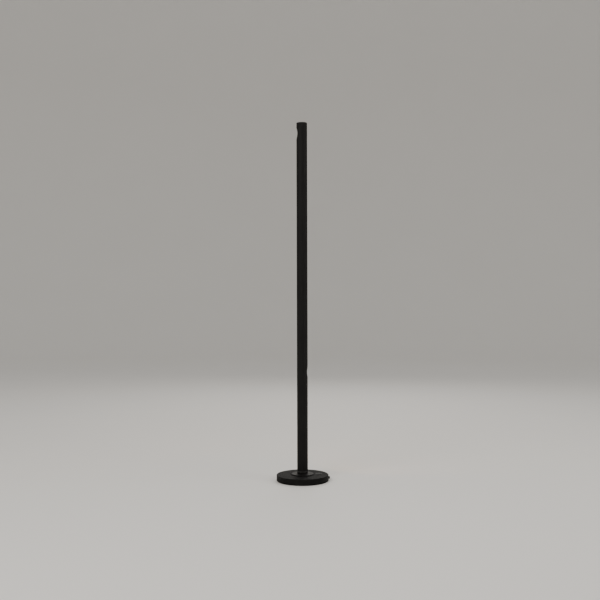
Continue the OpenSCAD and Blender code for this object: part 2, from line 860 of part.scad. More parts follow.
// Grub screw whose tip runs in the stop groove and holds the section down
module swivel_screw(i) {
    tip_gap = 0.5;
    socket_h = 1.6;
    tip_r = journal_r - stop_groove_depth + tip_gap;
    color(STEEL) aimed(i) radial(0, SEATS[i] + stop_up) difference() {
        translate([0, 0, tip_r])
            cylinder(d = swivel_screw_d, h = tube_r - screw_sunk - tip_r);
        translate([0, 0, tube_r - screw_sunk - socket_h])
            cylinder(d = 0.5 * swivel_screw_d, h = socket_h + over, $fn = 6);
    }
}

// Height where section i's loom starts to bend out to the tube's wall, and home again
function loom_out_z(i) = SEATS[i] + journal_h + loom_stub;
function loom_home_z(i) = SCOOPS[i] + loom_turn;

// The loom's distance behind the column's axis at height z, and its slope there
function loom_path(i, z) =
    loom_y * (eased(z, loom_out_z(i), loom_out_z(i) + loom_bend_h)
              - eased(z, loom_home_z(i), loom_home_z(i) + loom_bend_h));
function loom_slope(i, z) =
    loom_y * (eased_slope(z, loom_out_z(i), loom_out_z(i) + loom_bend_h)
              - eased_slope(z, loom_home_z(i), loom_home_z(i) + loom_bend_h));

// Depth along the light's axis at which the loom's side lies, found in a few steps
function lead_depth(i, depth, steps) =
    steps == 0 ? depth :
    let (reach = scoop_r + depth,
         y = scoop_axis_y - reach * cos(light_tilt),
         z = SCOOPS[i] + reach * sin(light_tilt),
         room = y - loom_path(i, z) - loom_r - lay_gap)
    lead_depth(i, depth + room / cos(light_tilt), steps - 1);

// Wiring loom of section i: on the column's axis inside the journals, and along the
// tube's back wall between them, with a lead into the light's boss
module loom(i) {
    foot_z = SEATS[i] + journal_h;
    head_z = i == UPPER ? loom_home_z(i) + 0.6 * loom_bend_h : SEATS[i + 1] + journal_h;
    bend_zs = [for (z = [loom_out_z(i), loom_home_z(i)]) for (k = [0:loom_bend_steps])
        z + loom_bend_h * k / loom_bend_steps];
    zs = concat([foot_z], [for (z = bend_zs) if (z < head_z - over) z], [head_z]);
    points = [for (z = zs)
        let (y = loom_path(i, z), slope = loom_slope(i, z), d = sqrt(1 + slope * slope))
        for (j = [0:loom_sides - 1])
            let (a = 360 * j / loom_sides, across = loom_r * sin(a))
            [loom_r * cos(a), y + across / d, z - across * slope / d]];
    lead_end = lead_depth(i, boss_depth, 8);
    color(WIRE_BLACK) aimed(i) {
        skin(points, loom_sides);
        at_light(i) translate([0, 0, -lead_end])
            cylinder(r = lead_r, h = lead_end - pocket_depth);
    }
}

// Top of the column

module end_cap() {
    plug_wall = 5;
    color(BLACK_COAT) aimed(UPPER) difference() {
        union() {
            translate([0, 0, cap_z]) cylinder(r = tube_r, h = cap_t - cap_chamfer);
            translate([0, 0, lamp_h - cap_chamfer])
                cylinder(r1 = tube_r, r2 = tube_r - cap_chamfer, h = cap_chamfer);
            translate([0, 0, cap_z - plug_h]) cylinder(r = plug_r, h = plug_h);
        }
        translate([0, 0, cap_z - plug_h - over])
            cylinder(r = plug_r - plug_wall, h = plug_h + over);
        oring_groove(cap_oring_z);
        top_screw_taps(UPPER);
    }
}

module cap_oring() {
    color(BLACK_RUBBER) oring(cap_oring_z);
}

base_plate();
base_pad();
bottom_cover();
cover_screws();
column_flange();
flange_gasket();
flange_screws();
led_driver();
terminal_block();
base_wiring();
switch_bushing();
switch_nut();
switch_body();
button_seal();
button_spring();
foot_button();
gland_body();
gland_nut();
gland_seal();
washer(SEATS[LOWER]);  // foot_washer
color(BLACK_RUBBER) oring(SEATS[LOWER] + oring_up);  // foot_oring
section_tube(LOWER);  // lower_tube
section_tube(MIDDLE);  // middle_tube
section_tube(UPPER);  // upper_tube
lamp_holder(LOWER);  // lower_lamp_holder
lamp_holder(MIDDLE);  // middle_lamp_holder
lamp_holder(UPPER);  // upper_lamp_holder
led_board(LOWER);  // lower_led_board
led_board(MIDDLE);  // middle_led_board
led_board(UPPER);  // upper_led_board
lens(LOWER);  // lower_lens
lens(MIDDLE);  // middle_lens
lens(UPPER);  // upper_lens
glass(LOWER);  // lower_glass
glass(MIDDLE);  // middle_glass
glass(UPPER);  // upper_glass
glass_seal(LOWER);  // lower_glass_seal
glass_seal(MIDDLE);  // middle_glass_seal
glass_seal(UPPER);  // upper_glass_seal
glass_ring(LOWER);  // lower_glass_ring
glass_ring(MIDDLE);  // middle_glass_ring
glass_ring(UPPER);  // upper_glass_ring
tube_screws(LOWER);  // lower_tube_screws
tube_screws(MIDDLE);  // middle_tube_screws
tube_screws(UPPER);  // upper_tube_screws
swivel_screw(LOWER);  // lower_swivel_screw
swivel_screw(MIDDLE);  // middle_swivel_screw
swivel_screw(UPPER);  // upper_swivel_screw
loom(LOWER);  // lower_loom
loom(MIDDLE);  // middle_loom
loom(UPPER);  // upper_loom
coupler(LOWER);  // lower_coupler
coupler(MIDDLE);  // middle_coupler
washer(SEATS[MIDDLE]);  // lower_washer
washer(SEATS[UPPER]);  // middle_washer
color(BLACK_RUBBER) oring(SEATS[MIDDLE] + oring_up);  // lower_oring
color(BLACK_RUBBER) oring(SEATS[UPPER] + oring_up);  // middle_oring
end_cap();
cap_oring();
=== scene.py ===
"""Finishes and fine pieces of an outdoor floor lamp, made round its fixed frame.

The lamp is a slim round column on a heavy disc. Three lights sit in scoops of the column,
and each section of the column turns on the one below it. All lengths are in metres.
"""
import math

import bmesh
import bpy
import numpy as np
from bpy.props import FloatProperty, FloatVectorProperty, IntProperty, PointerProperty
from mathutils import Matrix, Vector


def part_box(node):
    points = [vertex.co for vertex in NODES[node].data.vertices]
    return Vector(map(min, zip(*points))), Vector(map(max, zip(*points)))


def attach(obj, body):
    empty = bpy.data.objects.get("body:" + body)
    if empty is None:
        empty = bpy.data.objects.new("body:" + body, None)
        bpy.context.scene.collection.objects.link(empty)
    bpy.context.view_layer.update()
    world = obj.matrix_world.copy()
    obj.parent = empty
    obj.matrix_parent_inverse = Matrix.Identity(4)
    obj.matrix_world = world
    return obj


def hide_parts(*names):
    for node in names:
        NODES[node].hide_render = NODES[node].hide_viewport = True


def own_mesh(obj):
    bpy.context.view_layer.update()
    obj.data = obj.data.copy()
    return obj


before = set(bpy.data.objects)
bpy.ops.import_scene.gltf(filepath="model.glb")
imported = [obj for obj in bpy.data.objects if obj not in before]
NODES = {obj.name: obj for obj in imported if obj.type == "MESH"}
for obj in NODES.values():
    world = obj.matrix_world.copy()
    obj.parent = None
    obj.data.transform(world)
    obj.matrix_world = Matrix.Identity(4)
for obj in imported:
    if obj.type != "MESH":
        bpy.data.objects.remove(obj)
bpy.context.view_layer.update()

bl_info = {
    "name": "Outdoor floor lamp",
    "version": (1, 0, 0),
    "blender": (4, 5, 0),
    "location": "View3D > Sidebar > Floor lamp",
    "description": "Finishes and fine pieces for a floor lamp with three swivelling lights",
    "category": "Object",
}

SECTIONS = ("lower", "middle", "upper")
MM = 0.001

# Where the sections' lights aim, in degrees anticlockwise from +Y
AIMS = {"lower": -45.0, "middle": 0.0, "upper": 45.0}
# Height of each section's seat, and of the middle of its scoop
SEATS = {"lower": 0.040, "middle": 0.500, "upper": 1.000}
SCOOPS = {"lower": 0.455, "middle": 0.955, "upper": 1.455}

# The light: its tilt, the scoop's round floor, depths below that floor, and its parts
TILT = math.radians(30)
SCOOP_R = 34 * MM
SCOOP_AXIS_Y = 39.5 * MM
BOARD_DEPTH = 10.3 * MM
BOARD_T = 1.6 * MM
LENS_R = 9 * MM
LENS_RIM = 8.2 * MM
LENS_H = 6 * MM
BOSS_DEPTH = 14.9 * MM

# The loom: its route down the tube, as the source has it
JOURNAL_H = 36 * MM
LOOM_R = 2.5 * MM
LEAD_R = 1.5 * MM
LOOM_Y = -17.2 * MM
LOOM_STUB = 4 * MM
LOOM_TURN = 8 * MM
LOOM_BEND = 50 * MM
LAY_GAP = 0.3 * MM
# A new shape's share of the source's size, so that it stays inside
SNUG = 0.985

# What hangs under the roof of the disc's cavity
ROOF_Z = 18 * MM
DRIVER_H = 12 * MM
DRIVER_END_X = -24 * MM
BLOCK_H = 9 * MM
BLOCK_HOLE = 4 * MM

# Edges sharper than this stay crisp
CREASE = math.radians(35)


# Arrays and meshes

def eased(x, a, b):
    """Step from 0 to 1 as x goes from a to b: t squared times (3 - 2t), t held to 0..1."""
    t = np.clip((x - a) / (b - a), 0, 1)
    return t * t * (3 - 2 * t)


def filleted(corners, steps):
    """A profile of points (r, z) from corners (r, z, rounding radius).

    A corner of radius q between unit edges p and n, an angle apart, becomes an arc of steps
    points. It starts q / tan(angle / 2) before the corner and ends as far after it, and its
    centre lies on the bisector, q / sin(angle / 2) from the corner.
    """
    c = np.array([k[:2] for k in corners], float)
    out = []
    for i, (x, z, q) in enumerate(corners):
        here = np.array([x, z], float)
        if q <= 0:
            out.append(here[None])
            continue
        p = c[i - 1] - here
        n = c[(i + 1) % len(c)] - here
        p, n = p / np.linalg.norm(p), n / np.linalg.norm(n)
        half = 0.5 * math.acos(float(np.clip(p @ n, -1, 1)))
        middle = (p + n) / np.linalg.norm(p + n)
        centre = here + middle * q / math.sin(half)
        a, b = here + p * q / math.tan(half) - centre, here + n * q / math.tan(half) - centre
        t = np.linspace(0, 1, steps)[:, None]
        chord = a * (1 - t) + b * t
        out.append(centre + q * chord / np.linalg.norm(chord, axis=1, keepdims=True))
    return np.concatenate(out)


def turned(profile, sides, wobble=None):
    """A surface of revolution: point (r, z) of the profile goes to (r cos a, r sin a, z) for
    each of the sides' angles a. wobble(r, z, a) may give other (r, z) for each of them."""
    a = np.arange(sides) * 2 * math.pi / sides
    r, z = (np.broadcast_to(profile[:, k, None], (len(profile), sides)) for k in (0, 1))
    if wobble:
        r, z = wobble(r, z, a[None, :])
    return np.stack([r * np.cos(a), r * np.sin(a), z + 0 * a], -1)


def swept(path, radius, sides):
    """A round tube along a path: ring k is centre k + radius * (cos a * side + sin a * up).

    side is carried from ring to ring by taking away its share along the path's direction.
    Also gives how far along the path each ring lies.
    """
    path = np.asarray(path, float)
    along = np.gradient(path, axis=0)
    along /= np.linalg.norm(along, axis=1, keepdims=True)
    side = np.zeros_like(path)
    start = np.cross(along[0], [0.0, 0.3, 1.0] if abs(along[0, 0]) > 0.5 else [1.0, 0.3, 0.0])
    side[0] = start / np.linalg.norm(start)
    for k in range(1, len(path)):
        s = side[k - 1] - along[k] * (side[k - 1] @ along[k])
        side[k] = s / np.linalg.norm(s)
    up = np.cross(along, side)
    length = np.concatenate([[0], np.cumsum(np.linalg.norm(np.diff(path, axis=0), axis=1))])
    a = (np.arange(sides) * 2 * math.pi / sides)[None, :, None]
    ring = radius * (np.cos(a) * side[:, None] + np.sin(a) * up[:, None])
    return path[:, None] + ring, length


def part(points, looped=False, caps=False, finish=0, along=None):
    """One grid of points as quads. Each row closes into a ring, and a looped grid's last row
    joins its first.

    Corner (i, j) has u = j / columns and v = along[i], so the seam's u runs on to the full
    turn. With caps, a row of one repeated point, the middle of the end ring, shuts each end.
    """
    if caps:
        ends = [np.repeat(points[k].mean(0, keepdims=True), points.shape[1], 0)[None]
                for k in (0, -1)]
        points = np.concatenate([ends[0], points, ends[1]])
        if along is not None:
            along = np.concatenate([along[:1], along, along[-1:]])
    rows, cols = points.shape[:2]
    i = np.arange(rows if looped else rows - 1)[:, None]
    j = np.arange(cols)[None, :]
    corners = ((0, 0), (0, 1), (1, 1), (1, 0))
    k = [(i + di) % rows * cols + (j + dj) % cols for di, dj in corners]
    v = np.arange(rows) * 1.0 if along is None else np.asarray(along)
    v = np.append(v, 2 * v[-1] - v[-2])
    uv = np.stack([np.stack([(j + dj) / cols + 0.0 * i, v[i + di] + 0.0 * j], -1)
                   for di, dj in corners], 2)
    return {"points": points.reshape(-1, 3), "faces": np.stack(k, -1).reshape(-1, 4),
            "uv": uv.reshape(-1, 4, 2), "finish": finish}


def merged_mesh(name, parts, finishes):
    """One mesh from parts, its doubled points merged and its faces turned outwards."""
    counts = np.cumsum([0] + [len(p["points"]) for p in parts])
    points = np.concatenate([p["points"] for p in parts])
    faces = np.concatenate([p["faces"] + c for p, c in zip(parts, counts)])
    uv = np.concatenate([p["uv"] for p in parts])
    index = np.concatenate([np.full(len(p["faces"]), p["finish"]) for p in parts])
    mesh = bpy.data.meshes.new(name)
    mesh.from_pydata(points.tolist(), [], faces.tolist())
    mesh.uv_layers.new(name="along").data.foreach_set("uv", uv.ravel().astype(np.float32))
    mesh.polygons.foreach_set("material_index", index.astype(np.int32))
    shell = bmesh.new()
    shell.from_mesh(mesh)
    bmesh.ops.remove_doubles(shell, verts=shell.verts, dist=1e-6)
    bmesh.ops.recalc_face_normals(shell, faces=shell.faces)
    shell.to_mesh(mesh)
    shell.free()
    mesh.polygons.foreach_set("use_smooth", np.ones(len(mesh.polygons), bool))
    mesh.set_sharp_from_angle(angle=CREASE)
    mesh.update()
    for finish in finishes:
        mesh.materials.append(finish)
    return mesh


def placed(name, data):
    """An object for a mesh, light or camera, linked into the scene."""
    o = bpy.data.objects.new(name, data)
    bpy.context.scene.collection.objects.link(o)
    return o


def piece(name, parts, finishes, body, node):
    """A piece of the lamp that rides on a body and stands for one CAD node."""
    o = placed(name, merged_mesh(name, parts, finishes))
    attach(o, body)
    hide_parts(node)
    return o


def turn_z(points, degrees):
    """Points turned about the column's axis."""
    a = math.radians(degrees)
    m = np.array([[math.cos(a), -math.sin(a), 0], [math.sin(a), math.cos(a), 0], [0, 0, 1]])
    return points @ m.T


def at_light(points, section):
    """Points of the light's own frame, +Z out along the beam, put where the light is.

    Its axes there are X, the slope (0, -sin tilt, -cos tilt) and the beam
    (0, cos tilt, -sin tilt), all turned by the section's aim.
    """
    c, s = math.cos(TILT), math.sin(TILT)
    m = np.array([[1, 0, 0], [0, -s, c], [0, -c, -s]])
    middle = [0, SCOOP_AXIS_Y - SCOOP_R * c, SCOOPS[section] + SCOOP_R * s]
    return turn_z(points @ m.T + middle, AIMS[section])


# Shader nodes

class Value:
    """A node's number that Python expressions can add, take away, multiply and divide."""

    def __init__(self, finish, socket):
        self.finish, self.socket = finish, socket

    def math(self, operation, *others):
        return self.finish.node("Math", {"operation": operation},
                                dict(enumerate((self, *others))))

    def __add__(self, other):
        return self.math("ADD", other)

    def __sub__(self, other):
        return self.math("SUBTRACT", other)

    def __rsub__(self, other):
        return self.finish.node("Math", {"operation": "SUBTRACT"}, {0: other, 1: self})

    def __mul__(self, other):
        return self.math("MULTIPLY", other)

    def __truediv__(self, other):
        return self.math("DIVIDE", other)

    def __pow__(self, other):
        return self.math("POWER", other)

    __radd__ = __add__
    __rmul__ = __mul__


class Finish:
    """A material made of nodes, each added with its settings and its sockets' values."""

    def __init__(self, name):
        self.material = bpy.data.materials.new(name)
        self.material.use_nodes = True
        self.tree = self.material.node_tree
        self.tree.nodes.clear()

    def node(self, kind, settings=None, sockets=None, output=0):
        """Adds a node, sets it up, fills its sockets with values or links, and gives one of
        its outputs."""
        made = self.tree.nodes.new("ShaderNode" + kind)
        for key, value in (settings or {}).items():
            setattr(made, key, value)
        for key, value in (sockets or {}).items():
            if isinstance(value, Value):
                self.tree.links.new(value.socket, made.inputs[key])
            else:
                made.inputs[key].default_value = value
        return Value(self, made.outputs[output])

    def place(self):
        return self.node("TexCoord", output="Object")

    def noise(self, place, grain, detail=3.0, stretch=None, seed=0.0):
        """Noise whose grains are about so many metres across, drawn out where stretched."""
        if stretch:
            place = self.node("VectorMath", {"operation": "MULTIPLY"}, {0: place, 1: stretch})
        return self.node("TexNoise", {"noise_dimensions": "4D"},
                         {"Vector": place, "W": seed, "Scale": 1 / grain, "Detail": detail,
                          "Roughness": 0.55}, "Fac")

    def between(self, value, low, high):
        """Smooth step from 0 to 1 as a number goes from low to high."""
        return self.node("MapRange", {"interpolation_type": "SMOOTHSTEP"},
                         {"Value": value, "From Min": low, "From Max": high})

    def blend(self, factor, a, b):
        return self.node("Mix", {"data_type": "RGBA"},
                         {0: factor, 6: a if isinstance(a, Value) else (*a, 1.0),
                          7: b if isinstance(b, Value) else (*b, 1.0)}, 2)

    def soft_edge(self, radius):
        """Normal that rounds sharp edges off, and how strongly it does so here."""
        rounded = self.node("Bevel", {"samples": 4}, {"Radius": radius})
        true = self.node("NewGeometry", output="Normal")
        agree = self.node("VectorMath", {"operation": "DOT_PRODUCT"}, {0: rounded, 1: true},
                          "Value")
        return rounded, self.between(1 - agree, 0.02, 0.25)

    def bump(self, height, distance, strength=1.0, normal=None):
        sockets = {"Strength": strength, "Distance": distance, "Height": height}
        if normal:
            sockets["Normal"] = normal
        return self.node("Bump", None, sockets, "Normal")

    def from_beam(self, place, section):
        """Distance from the axis of a section's beam: the root of x squared plus v squared,
        where x runs across the light's face and v up it."""
        a = math.radians(AIMS[section])
        c, s = math.cos(TILT), math.sin(TILT)
        axes = {k: self.node("SeparateXYZ", None, {0: place}, k) for k in "XYZ"}
        x = axes["X"] * math.cos(a) + axes["Y"] * math.sin(a)
        y = axes["Y"] * math.cos(a) - axes["X"] * math.sin(a)
        out = y - (SCOOP_AXIS_Y - SCOOP_R * c)
        up = axes["Z"] - SCOOPS[section] - SCOOP_R * s
        v = out * s + up * c
        return (x * x + v * v) ** 0.5

    def done(self, **sockets):
        """Ends in a principled shader whose sockets are named in words with underscores."""
        values = {}
        for key, value in sockets.items():
            name = key.replace("_", " ").title().replace("Ior", "IOR")
            colour = isinstance(value, tuple) and len(value) == 3
            values[name] = (*value, 1.0) if colour else value
        shader = self.node("BsdfPrincipled", None, values)
        out = self.tree.nodes.new("ShaderNodeOutputMaterial")
        self.tree.links.new(shader.socket, out.inputs["Surface"])
        return self.material


def powder_coat(name, tone, roughness, grain, shine=0.15, journal=None):
    """Fine-textured powder coat: small grains, some of them lighter, over a faint orange
    peel, a little light dust where it faces up, and burnished edges. Above the height
    journal, the piece is bare turned metal."""
    f = Finish(name)
    place = f.place()
    rounded, edge = f.soft_edge(0.35 * MM)
    broad = f.noise(place, 0.11, 2.0)
    peel = f.noise(place, 5 * grain, 2.0, seed=3.0)
    fine = f.noise(place, grain, 4.0, seed=7.0)
    cells = f.node("TexVoronoi", {"feature": "SMOOTH_F1"},
                   {"Vector": place, "Scale": 1 / (1.6 * grain), "Smoothness": 0.6},
                   "Distance")
    facing = f.node("SeparateXYZ", None, {0: f.node("NewGeometry", output="Normal")}, "Z")
    specks = f.between(f.noise(place, 0.0035, 5.0, seed=11.0), 0.62, 0.76)
    dust = f.between(facing, 0.55, 0.95) * (0.12 + 0.5 * specks) * f.between(broad, 0.3, 0.75)
    light = tuple(min(1.0, 2.0 * c + 0.002) for c in tone)
    grains = f.between(fine, 0.52, 0.68)
    colour = f.blend(f.between(broad, 0.3, 0.7) * 0.2 + grains * 0.35, tone, light)
    colour = f.blend(edge * 0.3, colour, tuple(6 * c for c in tone))
    colour = f.blend(dust * 0.03, colour, (0.30, 0.28, 0.25))
    rough = roughness + 0.07 * (broad - 0.5) + 0.1 * dust - 0.12 * edge
    height = 0.7 * cells + 0.45 * fine + 0.15 * peel
    metal = 0.0
    if journal:
        z = f.node("SeparateXYZ", None, {0: place}, "Z")
        bare = f.between(z, journal - 0.1 * MM, journal + 0.1 * MM)
        lines = f.noise(place, 0.004, 2.0, (1.0, 1.0, 60.0))
        colour = f.blend(bare, colour, (0.55, 0.56, 0.57))
        rough = rough * (1 - bare) + (0.24 + 0.14 * lines) * bare
        height = height * (1 - bare) + 0.5 * lines * bare
        metal = bare
    return f.done(base_color=colour, roughness=rough, metallic=metal, specular_ior_level=shine,
                  normal=f.bump(height, 0.26 * MM, 1.0, rounded))


def satin_black(name, tone, roughness, section=None):
    """Black anodised metal with a fine grain. In a light's holder, turning marks run round
    the beam, outside the light's opening."""
    f = Finish(name)
    place = f.place()
    rounded, edge = f.soft_edge(0.25 * MM)
    cloud = f.noise(place, 0.02, 3.0)
    fine = f.noise(place, 0.3 * MM, 3.0, seed=5.0)
    height = 0.4 * fine
    rough = roughness + 0.08 * (cloud - 0.5) + 0.05 * (fine - 0.5)
    if section:
        away, pitch, opening = f.from_beam(place, section), 0.9 * MM, 12.2 * MM
        wave = (away * (2 * math.pi / pitch)).math("SINE")
        outside = f.between(away, opening, opening + 0.6 * MM)
        height = height + 1.4 * wave * outside
        rough = rough + 0.06 * outside
    colour = f.blend(cloud * 0.5, tone, tuple(1.7 * c for c in tone))
    colour = f.blend(edge * 0.35, colour, tuple(5 * c + 0.02 for c in tone))
    return f.done(base_color=colour, roughness=rough, metallic=0.55,
                  normal=f.bump(height, 0.05 * MM, 0.7, rounded))


def rubber(name, tone=(0.012, 0.012, 0.0125)):
    """Matt moulded rubber with a fine grain and a pale bloom in cloudy patches."""
    f = Finish(name)
    place = f.place()
    rounded, edge = f.soft_edge(0.2 * MM)
    bloom = f.between(f.noise(place, 0.012, 4.0), 0.45, 0.8)
    grain = f.noise(place, 0.35 * MM, 3.0, seed=2.0)
    colour = f.blend(bloom * 0.5 + edge * 0.2, tone, (0.035, 0.035, 0.036))
    return f.done(base_color=colour, roughness=0.72 + 0.12 * bloom + 0.06 * (grain - 0.5),
                  specular_ior_level=0.35, normal=f.bump(grain, 0.05 * MM, 0.6, rounded))


def moulded(name, tone, roughness=0.45, shine=0.5):
    """Moulded plastic: faint flow clouds, fine spark-eroded grain, softened edges."""
    f = Finish(name)
    place = f.place()
    rounded, edge = f.soft_edge(0.25 * MM)
    flow = f.noise(place, 0.03, 2.0, (1.0, 2.2, 1.0))
    grain = f.noise(place, 0.25 * MM, 3.0, seed=4.0)
    light = tuple(min(1.0, 1.25 * c + 0.004) for c in tone)
    colour = f.blend(flow * 0.4 + edge * 0.1, tone, light)
    return f.done(base_color=colour, roughness=roughness + 0.1 * (flow - 0.5),
                  specular_ior_level=shine, normal=f.bump(grain, 0.03 * MM, 0.5, rounded))


def plated(name):
    """Zinc-plated sheet: crystals of slightly different brightness, with a brushed grain."""
    f = Finish(name)
    place = f.place()
    rounded, edge = f.soft_edge(0.2 * MM)
    crystal = f.node("TexVoronoi", {"feature": "F1"},
                     {"Vector": place, "Scale": 1 / (7 * MM)}, "Color")
    tone = f.node("SeparateColor", None, {0: crystal}, "Red")
    brushed = f.noise(place, 0.004, 3.0, (1.0, 26.0, 1.0), 6.0)
    colour = f.blend(0.7 * tone + 0.3 * brushed, (0.34, 0.35, 0.36), (0.55, 0.56, 0.59))
    return f.done(base_color=colour, metallic=1.0, roughness=0.3 + 0.16 * tone + 0.1 * brushed,
                  normal=f.bump(brushed + 0.4 * edge, 0.02 * MM, 0.5, rounded))


def bright_metal(name, tone, roughness):
    """Turned metal: fine marks round the axis, a slight cloud in its shine, soft edges."""
    f = Finish(name)
    place = f.place()
    rounded, edge = f.soft_edge(0.12 * MM)
    marks = f.noise(place, 0.003, 3.0, (1.0, 1.0, 45.0))
    cloud = f.noise(place, 0.01, 2.0, seed=8.0)
    colour = f.blend(0.35 * marks + 0.3 * cloud + 0.4 * edge, tone,
                     tuple(min(1.0, 1.5 * c) for c in tone))
    return f.done(base_color=colour, metallic=1.0,
                  roughness=roughness + 0.12 * (marks - 0.5) + 0.08 * (cloud - 0.5),
                  normal=f.bump(marks, 0.015 * MM, 0.5, rounded))


def sheath(name, tone):
    """Woven sleeve over wires: two sets of crossing yarns that follow the tube's length."""
    f = Finish(name)
    uv = f.node("UVMap", {"uv_map": "along"})
    u, v = (f.node("SeparateXYZ", None, {0: uv}, k) for k in "XY")
    turns, pitch = 12.0, 3.2 * MM
    rising = ((u * turns + v / pitch) * (2 * math.pi)).math("SINE")
    falling = ((u * turns - v / pitch) * (2 * math.pi)).math("SINE")
    weave = 0.5 + 0.25 * (rising + falling)
    over = f.between(rising * falling, -0.6, 0.6)
    # Painted shade: the colour darkens where the weave dips and where a yarn passes under the
    # other, and lightens where a yarn lies over
    colour = f.blend(weave * 0.6 + over * 0.3, tuple(0.4 * c for c in tone),
                     tuple(2.2 * c for c in tone))
    return f.done(base_color=colour, roughness=0.5 + 0.15 * over,
                  normal=f.bump(weave + 0.5 * over, 0.12 * MM, 0.8))


def insulation(name, tone):
    """Extruded wire cover: smooth, a little uneven along its length."""
    f = Finish(name)
    uv = f.node("UVMap", {"uv_map": "along"})
    bands = f.noise(uv, 0.02, 2.0, (0.02, 1.0, 1.0))
    colour = f.blend(bands * 0.5, tone, tuple(min(1.0, 1.4 * c + 0.003) for c in tone))
    return f.done(base_color=colour, roughness=0.36 + 0.1 * bands,
                  normal=f.bump(bands, 0.02 * MM, 0.4))


def board_coat(name):
    """White solder mask with a faint sheen of its own and small pits."""
    f = Finish(name)
    place = f.place()
    pits = f.noise(place, 0.4 * MM, 3.0)
    colour = f.blend(f.between(pits, 0.55, 0.8), (0.82, 0.83, 0.80), (0.7, 0.71, 0.68))
    return f.done(base_color=colour, roughness=0.3 + 0.2 * pits, coat_weight=0.2,
                  normal=f.bump(pits, 0.02 * MM, 0.4))


def glowing_chip(name, light, strength):
    """The chip's phosphor: warm yellow, with small specks that glow a little paler."""
    f = Finish(name)
    specks = f.noise(f.place(), 0.25 * MM, 2.0)
    colour = f.blend(specks, light, tuple(min(1.0, 1.12 * c) for c in light))
    return f.done(base_color=(0.9, 0.62, 0.12), roughness=0.5, emission_color=colour,
                  emission_strength=strength)


def clear(name, tone, ior, light, strength, section):
    """Clear glass or moulded lens, with a painted warm glow that stands in for the lit chip's
    light seen through it. The glow fades with distance r from the beam's axis, as 1 - smooth
    step of r."""
    f = Finish(name)
    place = f.place()
    haze = f.noise(place, 0.004, 3.0)
    # Painted glow: emission on the glass and lens, strongest on the beam's axis, for the
    # chip's light shining through them
    core = 1 - f.between(f.from_beam(place, section), 1.0 * MM, LENS_RIM)
    glow = f.blend(core, (0.0, 0.0, 0.0), light)
    return f.done(base_color=tone, roughness=0.02 + 0.03 * haze, ior=ior,
                  transmission_weight=1.0, emission_color=glow, emission_strength=strength)


def pale_floor(name, tone):
    """Plain pale floor with a barely seen cloud in its tone."""
    f = Finish(name)
    cloud = f.noise(f.place(), 0.9, 3.0)
    colour = f.blend(cloud, tone, tuple(0.97 * c for c in tone))
    return f.done(base_color=colour, roughness=0.62 + 0.06 * cloud, specular_ior_level=0.3)


def paint(finish, *names):
    """Gives CAD nodes one finish on every material slot."""
    for name in names:
        slots = NODES[name].data.materials
        if len(slots) == 0:
            slots.append(finish)
        for k in range(len(slots)):
            slots[k] = finish


# Sizes and colours that a user may change

class LampFinishes(bpy.types.PropertyGroup):
    """Colours of the lamp's finishes, and how fine and matt its coat is"""
    coat: FloatVectorProperty(name="Coat", description="Colour of the powder coat",
                              subtype="COLOR", default=(0.0048, 0.0046, 0.0044), min=0, max=1)
    coat_roughness: FloatProperty(name="Coat roughness", description="How matt the coat is",
                                  subtype="FACTOR", default=0.63, min=0, max=1)
    coat_grain: FloatProperty(name="Coat grain", description="Size of the coat's grains",
                              subtype="DISTANCE", unit="LENGTH", default=0.45 * MM,
                              min=0.1 * MM, max=2 * MM, precision=5)
    satin: FloatVectorProperty(name="Satin parts", description="Colour of the satin parts",
                               subtype="COLOR", default=(0.017, 0.017, 0.018), min=0, max=1)
    screws: FloatVectorProperty(name="Screws", description="Colour of the tubes' screws",
                                subtype="COLOR", default=(0.055, 0.055, 0.058), min=0, max=1)
    steel: FloatVectorProperty(name="Steel", description="Colour of the bright steel parts",
                               subtype="COLOR", default=(0.46, 0.46, 0.46), min=0, max=1)
    plastic: FloatVectorProperty(name="Plastic", description="Colour of the pale plastic",
                                 subtype="COLOR", default=(0.62, 0.62, 0.59), min=0, max=1)


class LampLight(bpy.types.PropertyGroup):
    """The warm light, its beams and the bumps of its lenses"""
    colour: FloatVectorProperty(name="Light", description="Colour of the warm light",
                                subtype="COLOR", default=(1.0, 0.55, 0.16), min=0, max=1)
    chip_glow: FloatProperty(name="Chip glow", description="Strength of the chips' glow",
                             default=6.0, min=0, max=50)
    # The lenses' glow is painted light: emission for the chip's light shining through them
    lens_painted_glow: FloatProperty(name="Lens glow", description="Strength of the lenses' glow",
                             default=1.5, min=0, max=10)
    beam: FloatProperty(name="Beam", description="Power of each beam", unit="POWER",
                        default=1.6, min=0, max=50)
    spread: FloatProperty(name="Spread", description="Whole angle of each beam",
                          subtype="ANGLE", default=math.radians(72), min=0.1, max=3)
    lenslet: FloatProperty(name="Lenslet", description="Pitch of the lens's small bumps",
                           subtype="DISTANCE", unit="LENGTH", default=1.5 * MM,
                           min=0.8 * MM, max=4 * MM, precision=5)
    lenslet_h: FloatProperty(name="Lenslet depth", description="Depth between the bumps",
                             subtype="DISTANCE", unit="LENGTH", default=0.14 * MM,
                             min=0.02 * MM, max=0.4 * MM, precision=5)


class LampSwitch(bpy.types.PropertyGroup):
    """The foot switch's button and spring"""
    edge: FloatProperty(name="Edge rounding", description="Rounding of the button's edge",
                        subtype="DISTANCE", unit="LENGTH", default=0.9 * MM,
                        min=0.2 * MM, max=1.2 * MM, precision=5)
    rings: IntProperty(name="Grip rings", description="Rings on the button's top",
                       default=4, min=0, max=8)
    ring_h: FloatProperty(name="Ring height", description="Height of the grip rings",
                          subtype="DISTANCE", unit="LENGTH", default=0.22 * MM,
                          min=0.05 * MM, max=0.4 * MM, precision=5)
    coils: IntProperty(name="Spring coils", description="Turns of the return spring",
                       default=5, min=3, max=8)


